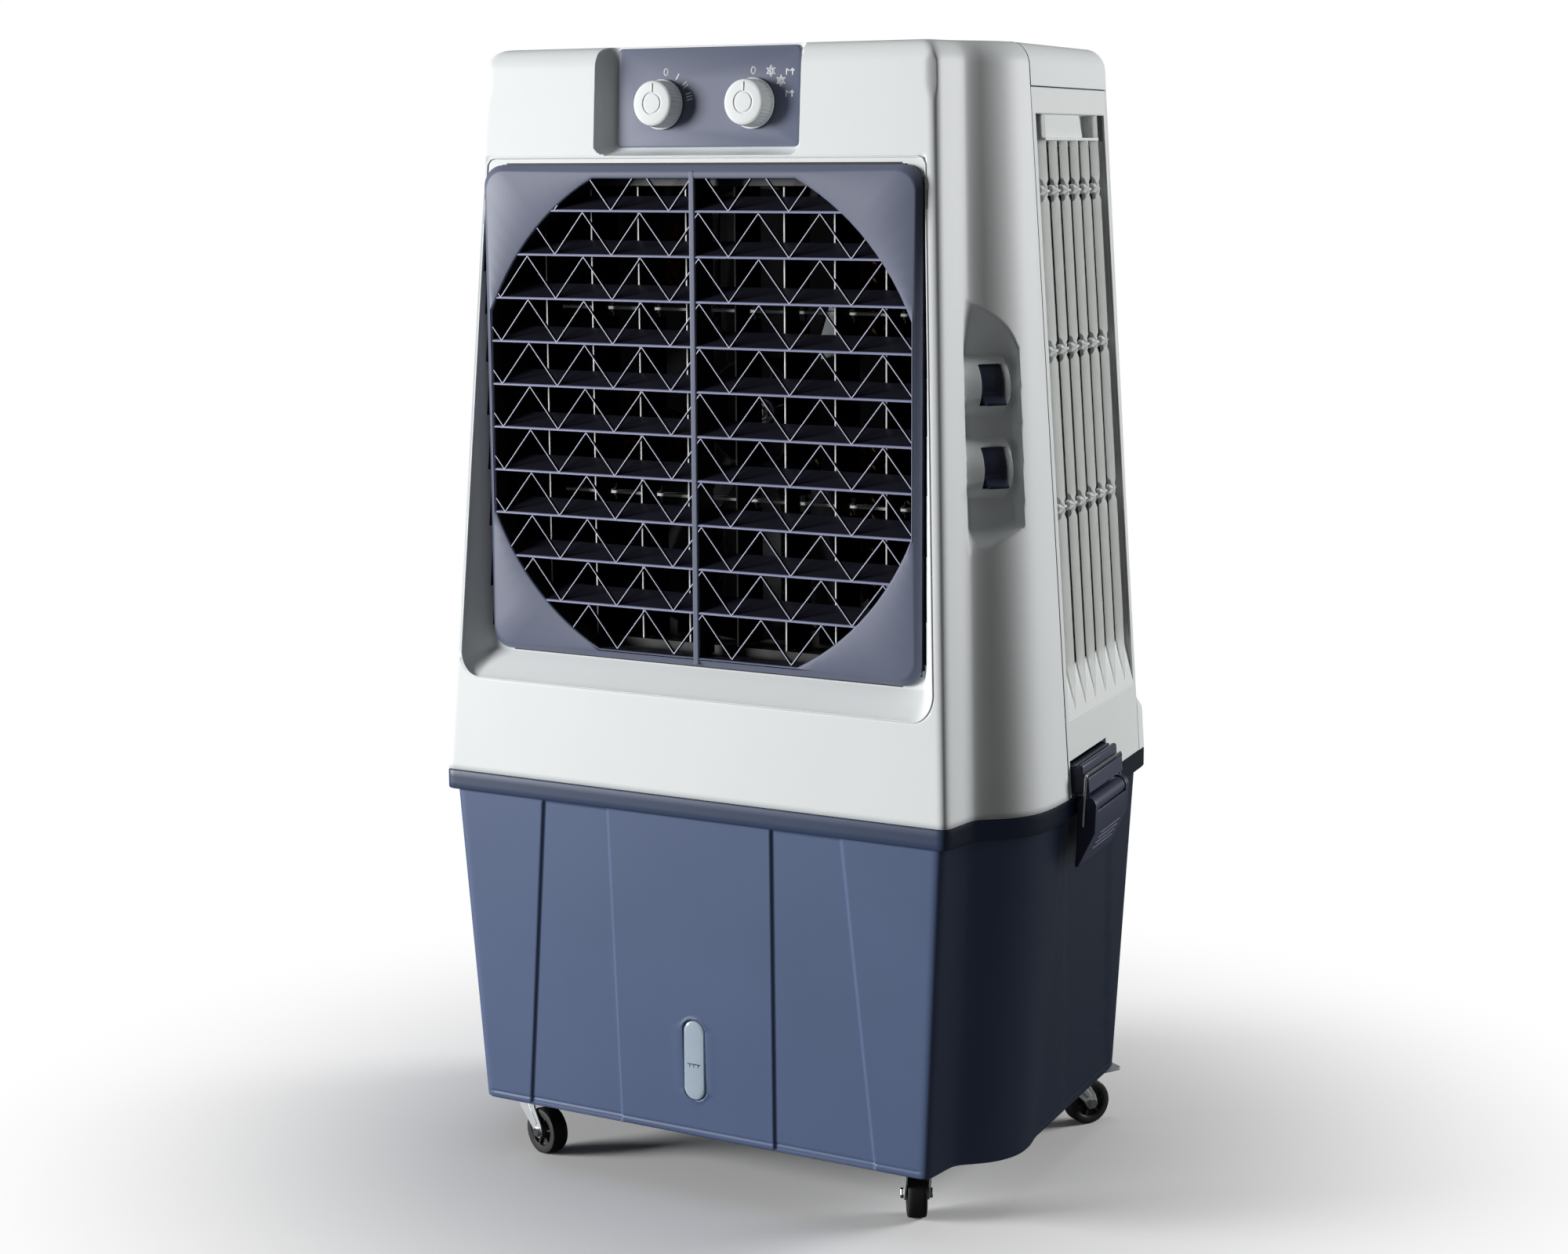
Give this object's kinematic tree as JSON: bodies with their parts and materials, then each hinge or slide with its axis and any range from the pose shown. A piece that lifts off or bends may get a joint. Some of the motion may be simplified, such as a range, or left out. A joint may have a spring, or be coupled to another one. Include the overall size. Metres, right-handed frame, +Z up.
{
  "type": "evaporative cooler",
  "caption": "Tall mobile evaporative cooler: a fan behind a zigzag grille with swing vanes, wet-pad panels on three sides, a latched water tank and swivel casters.",
  "frame": {"origin": "on the floor, under the middle of the overall width and depth", "axes": "+Z up, the grille and the knobs face -Y, +X is the cooler's side with the thumb levers"},
  "size_m": [0.73, 0.534, 1.172],
  "materials": {
    "slate_plastic": "slate blue-grey injection moulding, satin",
    "white_plastic": "off-white injection moulding, soft gloss",
    "pale_grey_plastic": "pale grey moulding, satin",
    "navy_plastic": "dark navy moulding, satin",
    "navy_steel": "navy powder coat on pressed steel",
    "black_plastic": "black moulding, satin",
    "window_clear": "clear moulded window",
    "hose_plastic": "translucent white hose",
    "zinc_steel": "bright zinc plated pressed steel",
    "bright_steel": "plain bright wire and shaft",
    "cast_housing": "cast motor housing",
    "pad_cellulose": "corrugated brown cellulose pad",
    "valve_brass": "turned brass",
    "tread_rubber": "black rubber"
  },
  "bodies": {
    "cooler_body": {"water_tank": "slate_plastic", "level_window": "window_clear", "front_shell": "white_plastic", "rear_shell": "white_plastic", "control_panel": "slate_plastic", "rotary_switches": "black_plastic", "front_grille": "slate_plastic", "vane_frame": "black_plastic", "swing_motor": "pale_grey_plastic", "fan_shroud": "black_plastic", "motor_bracket": "zinc_steel", "fan_motor": "cast_housing", "water_distributor": "white_plastic", "supply_hose": "hose_plastic", "pump_body": "black_plastic", "float_valve": "valve_brass", "latch_keepers": "navy_plastic", "latch_bases": "navy_steel", "caster_plates": "zinc_steel", "power_cord": "tread_rubber"},
    "drain_plug": {"drain_plug": "navy_plastic"},
    "speed_knob": {"speed_knob": "white_plastic"},
    "mode_knob": {"mode_knob": "white_plastic"},
    "swing_vane_1": {"swing_vane_1": "black_plastic"},
    "swing_vane_2": {"swing_vane_2": "black_plastic"},
    "swing_vane_3": {"swing_vane_3": "black_plastic"},
    "swing_vane_4": {"swing_vane_4": "black_plastic"},
    "swing_vane_5": {"swing_vane_5": "black_plastic"},
    "swing_vane_6": {"swing_vane_6": "black_plastic"},
    "swing_vane_7": {"swing_vane_7": "black_plastic"},
    "swing_vane_8": {"swing_vane_8": "black_plastic"},
    "vane_links": {"vane_link_bars": "pale_grey_plastic"},
    "fan": {"motor_shaft": "bright_steel", "fan_impeller": "pale_grey_plastic", "fan_nut": "zinc_steel"},
    "side_panel_right": {"side_panel_right": "pale_grey_plastic", "cooling_pad_right": "pad_cellulose"},
    "side_panel_left": {"side_panel_left": "pale_grey_plastic", "cooling_pad_left": "pad_cellulose"},
    "rear_panel": {"rear_panel": "navy_plastic", "cooling_pad_rear": "pad_cellulose"},
    "pump_impeller": {"pump_impeller": "pale_grey_plastic"},
    "float_arm": {"float_arm": "valve_brass"},
    "thumb_lever_upper": {"thumb_lever_upper": "navy_plastic"},
    "thumb_lever_lower": {"thumb_lever_lower": "navy_plastic"},
    "latch_lever_right": {"latch_lever_right": "navy_steel"},
    "latch_lever_left": {"latch_lever_left": "navy_steel"},
    "latch_bail_right": {"latch_bail_right": "bright_steel"},
    "latch_bail_left": {"latch_bail_left": "bright_steel"},
    "caster_fork_fl": {"caster_fork_fl": "zinc_steel"},
    "caster_fork_fr": {"caster_fork_fr": "zinc_steel"},
    "caster_fork_rl": {"caster_fork_rl": "zinc_steel"},
    "caster_fork_rr": {"caster_fork_rr": "zinc_steel"},
    "caster_wheel_fl": {"caster_wheel_fl": "tread_rubber"},
    "caster_wheel_fr": {"caster_wheel_fr": "tread_rubber"},
    "caster_wheel_rl": {"caster_wheel_rl": "tread_rubber"},
    "caster_wheel_rr": {"caster_wheel_rr": "tread_rubber"},
    "brake_pedal_rl": {"brake_pedal_rl": "zinc_steel"},
    "brake_pedal_rr": {"brake_pedal_rr": "zinc_steel"}
  },
  "joints": [
    {"name": "speed_knob_turn", "type": "hinge", "parent": "cooler_body", "child": "speed_knob", "pos_m": [-0.053, -0.20764, 1.11485], "axis": [0, 0.9982, -0.0599], "range_deg": [0, 90]},
    {"name": "mode_knob_turn", "type": "hinge", "parent": "cooler_body", "child": "mode_knob", "pos_m": [0.053, -0.20764, 1.11485], "axis": [0, 0.9982, -0.0599], "range_deg": [0, 90]},
    {"name": "thumb_lever_upper_turn", "type": "hinge", "parent": "cooler_body", "child": "thumb_lever_upper", "pos_m": [0.27203, -0.14775, 0.84322], "axis": [-0.6004, -0.7997, 0], "range_deg": [0, 42]},
    {"name": "thumb_lever_lower_turn", "type": "hinge", "parent": "cooler_body", "child": "thumb_lever_lower", "pos_m": [0.27761, -0.15194, 0.76352], "axis": [-0.6004, -0.7997, 0], "range_deg": [0, 42]},
    {"name": "swing_vane_1_turn", "type": "hinge", "parent": "cooler_body", "child": "swing_vane_1", "pos_m": [-0.19985, -0.186, 0.804], "axis": [0, 0, 1], "range_deg": [-25, 25]},
    {"name": "swing_vane_2_turn", "type": "hinge", "parent": "cooler_body", "child": "swing_vane_2", "pos_m": [-0.14275, -0.186, 0.804], "axis": [0, 0, 1], "range_deg": [-25, 25]},
    {"name": "swing_vane_3_turn", "type": "hinge", "parent": "cooler_body", "child": "swing_vane_3", "pos_m": [-0.08565, -0.186, 0.804], "axis": [0, 0, 1], "range_deg": [-25, 25]},
    {"name": "swing_vane_4_turn", "type": "hinge", "parent": "cooler_body", "child": "swing_vane_4", "pos_m": [-0.02855, -0.186, 0.804], "axis": [0, 0, 1], "range_deg": [-25, 25]},
    {"name": "swing_vane_5_turn", "type": "hinge", "parent": "cooler_body", "child": "swing_vane_5", "pos_m": [0.02855, -0.186, 0.804], "axis": [0, 0, 1], "range_deg": [-25, 25]},
    {"name": "swing_vane_6_turn", "type": "hinge", "parent": "cooler_body", "child": "swing_vane_6", "pos_m": [0.08565, -0.186, 0.804], "axis": [0, 0, 1], "range_deg": [-25, 25]},
    {"name": "swing_vane_7_turn", "type": "hinge", "parent": "cooler_body", "child": "swing_vane_7", "pos_m": [0.14275, -0.186, 0.804], "axis": [0, 0, 1], "range_deg": [-25, 25]},
    {"name": "swing_vane_8_turn", "type": "hinge", "parent": "cooler_body", "child": "swing_vane_8", "pos_m": [0.19985, -0.186, 0.804], "axis": [0, 0, 1], "range_deg": [-25, 25]},
    {"name": "vane_links_shift", "type": "slide", "parent": "cooler_body", "child": "vane_links", "axis": [1, 0, 0], "range_m": [-0.0086, 0.0086]},
    {"name": "fan_spin", "type": "hinge", "parent": "cooler_body", "child": "fan", "pos_m": [0, -0.06, 0.804], "axis": [0, 1, 0], "continuous": true},
    {"name": "pump_impeller_spin", "type": "hinge", "parent": "cooler_body", "child": "pump_impeller", "pos_m": [-0.175, 0.118, 0.09], "axis": [0, 0, 1], "continuous": true},
    {"name": "float_arm_swing", "type": "hinge", "parent": "cooler_body", "child": "float_arm", "pos_m": [0.15, 0.156, 0.368], "axis": [1, 0, 0], "range_deg": [0, 45]},
    {"name": "drain_plug_pull", "type": "slide", "parent": "cooler_body", "child": "drain_plug", "axis": [0, 1, 0], "range_m": [0, 0.03]},
    {"name": "side_panel_right_tilt", "type": "hinge", "parent": "cooler_body", "child": "side_panel_right", "pos_m": [0.32079, 0.04627, 0.4264], "axis": [-0.1515, 0.9885, 0], "range_deg": [0, 10]},
    {"name": "side_panel_left_tilt", "type": "hinge", "parent": "cooler_body", "child": "side_panel_left", "pos_m": [-0.32079, 0.04627, 0.4264], "axis": [-0.1515, -0.9885, 0], "range_deg": [0, 10]},
    {"name": "rear_panel_tilt", "type": "hinge", "parent": "cooler_body", "child": "rear_panel", "pos_m": [0, 0.206, 0.491], "axis": [-1, 0, 0], "range_deg": [0, 10]},
    {"name": "latch_lever_right_turn", "type": "hinge", "parent": "cooler_body", "child": "latch_lever_right", "pos_m": [0.3458, -0.0106, 0.41796], "axis": [0.1515, -0.9885, 0], "range_deg": [0, 120]},
    {"name": "latch_bail_right_turn", "type": "hinge", "parent": "latch_lever_right", "child": "latch_bail_right", "pos_m": [0.34325, -0.01099, 0.39674], "axis": [0.1515, -0.9885, 0], "range_deg": [-144, 0]},
    {"name": "latch_lever_left_turn", "type": "hinge", "parent": "cooler_body", "child": "latch_lever_left", "pos_m": [-0.3458, -0.0106, 0.41796], "axis": [0.1515, 0.9885, 0], "range_deg": [0, 120]},
    {"name": "latch_bail_left_turn", "type": "hinge", "parent": "latch_lever_left", "child": "latch_bail_left", "pos_m": [-0.34325, -0.01099, 0.39674], "axis": [0.1515, 0.9885, 0], "range_deg": [-144, 0]},
    {"name": "caster_fl_swivel", "type": "hinge", "parent": "cooler_body", "child": "caster_fork_fl", "pos_m": [-0.236, -0.205, 0.06], "axis": [0, 0, 1], "continuous": true},
    {"name": "caster_fl_roll", "type": "hinge", "parent": "caster_fork_fl", "child": "caster_wheel_fl", "pos_m": [-0.21508, -0.2118, 0.025], "axis": [0.309, 0.9511, 0], "continuous": true},
    {"name": "caster_fr_swivel", "type": "hinge", "parent": "cooler_body", "child": "caster_fork_fr", "pos_m": [0.236, -0.205, 0.06], "axis": [0, 0, 1], "continuous": true},
    {"name": "caster_fr_roll", "type": "hinge", "parent": "caster_fork_fr", "child": "caster_wheel_fr", "pos_m": [0.22434, -0.18634, 0.025], "axis": [-0.848, -0.5299, 0], "continuous": true},
    {"name": "caster_rl_swivel", "type": "hinge", "parent": "cooler_body", "child": "caster_fork_rl", "pos_m": [-0.236, 0.15, 0.06], "axis": [0, 0, 1], "continuous": true},
    {"name": "caster_rl_roll", "type": "hinge", "parent": "caster_fork_rl", "child": "caster_wheel_rl", "pos_m": [-0.23982, 0.17167, 0.025], "axis": [-0.9848, -0.1736, 0], "continuous": true},
    {"name": "caster_rr_swivel", "type": "hinge", "parent": "cooler_body", "child": "caster_fork_rr", "pos_m": [0.236, 0.15, 0.06], "axis": [0, 0, 1], "continuous": true},
    {"name": "caster_rr_roll", "type": "hinge", "parent": "caster_fork_rr", "child": "caster_wheel_rr", "pos_m": [0.24766, 0.16866, 0.025], "axis": [-0.848, 0.5299, 0], "continuous": true},
    {"name": "brake_pedal_rl_press", "type": "hinge", "parent": "caster_fork_rl", "child": "brake_pedal_rl", "pos_m": [-0.23808, 0.16182, 0.0565], "axis": [-0.9848, -0.1736, 0], "range_deg": [0, 8]},
    {"name": "brake_pedal_rr_press", "type": "hinge", "parent": "caster_fork_rr", "child": "brake_pedal_rr", "pos_m": [0.24236, 0.16018, 0.0565], "axis": [-0.848, 0.5299, 0], "range_deg": [0, 8]}
  ],
  "couplings": [
    {"joint": "swing_vane_2_turn", "follows": "swing_vane_1_turn", "ratio": 1},
    {"joint": "swing_vane_3_turn", "follows": "swing_vane_1_turn", "ratio": 1},
    {"joint": "swing_vane_4_turn", "follows": "swing_vane_1_turn", "ratio": 1},
    {"joint": "swing_vane_5_turn", "follows": "swing_vane_1_turn", "ratio": 1},
    {"joint": "swing_vane_6_turn", "follows": "swing_vane_1_turn", "ratio": 1},
    {"joint": "swing_vane_7_turn", "follows": "swing_vane_1_turn", "ratio": 1},
    {"joint": "swing_vane_8_turn", "follows": "swing_vane_1_turn", "ratio": 1},
    {"joint": "vane_links_shift", "follows": "swing_vane_1_turn", "m_per_rad": -0.01937},
    {"joint": "latch_bail_right_turn", "follows": "latch_lever_right_turn", "ratio": -1.2},
    {"joint": "latch_bail_left_turn", "follows": "latch_lever_left_turn", "ratio": -1.2}
  ]
}
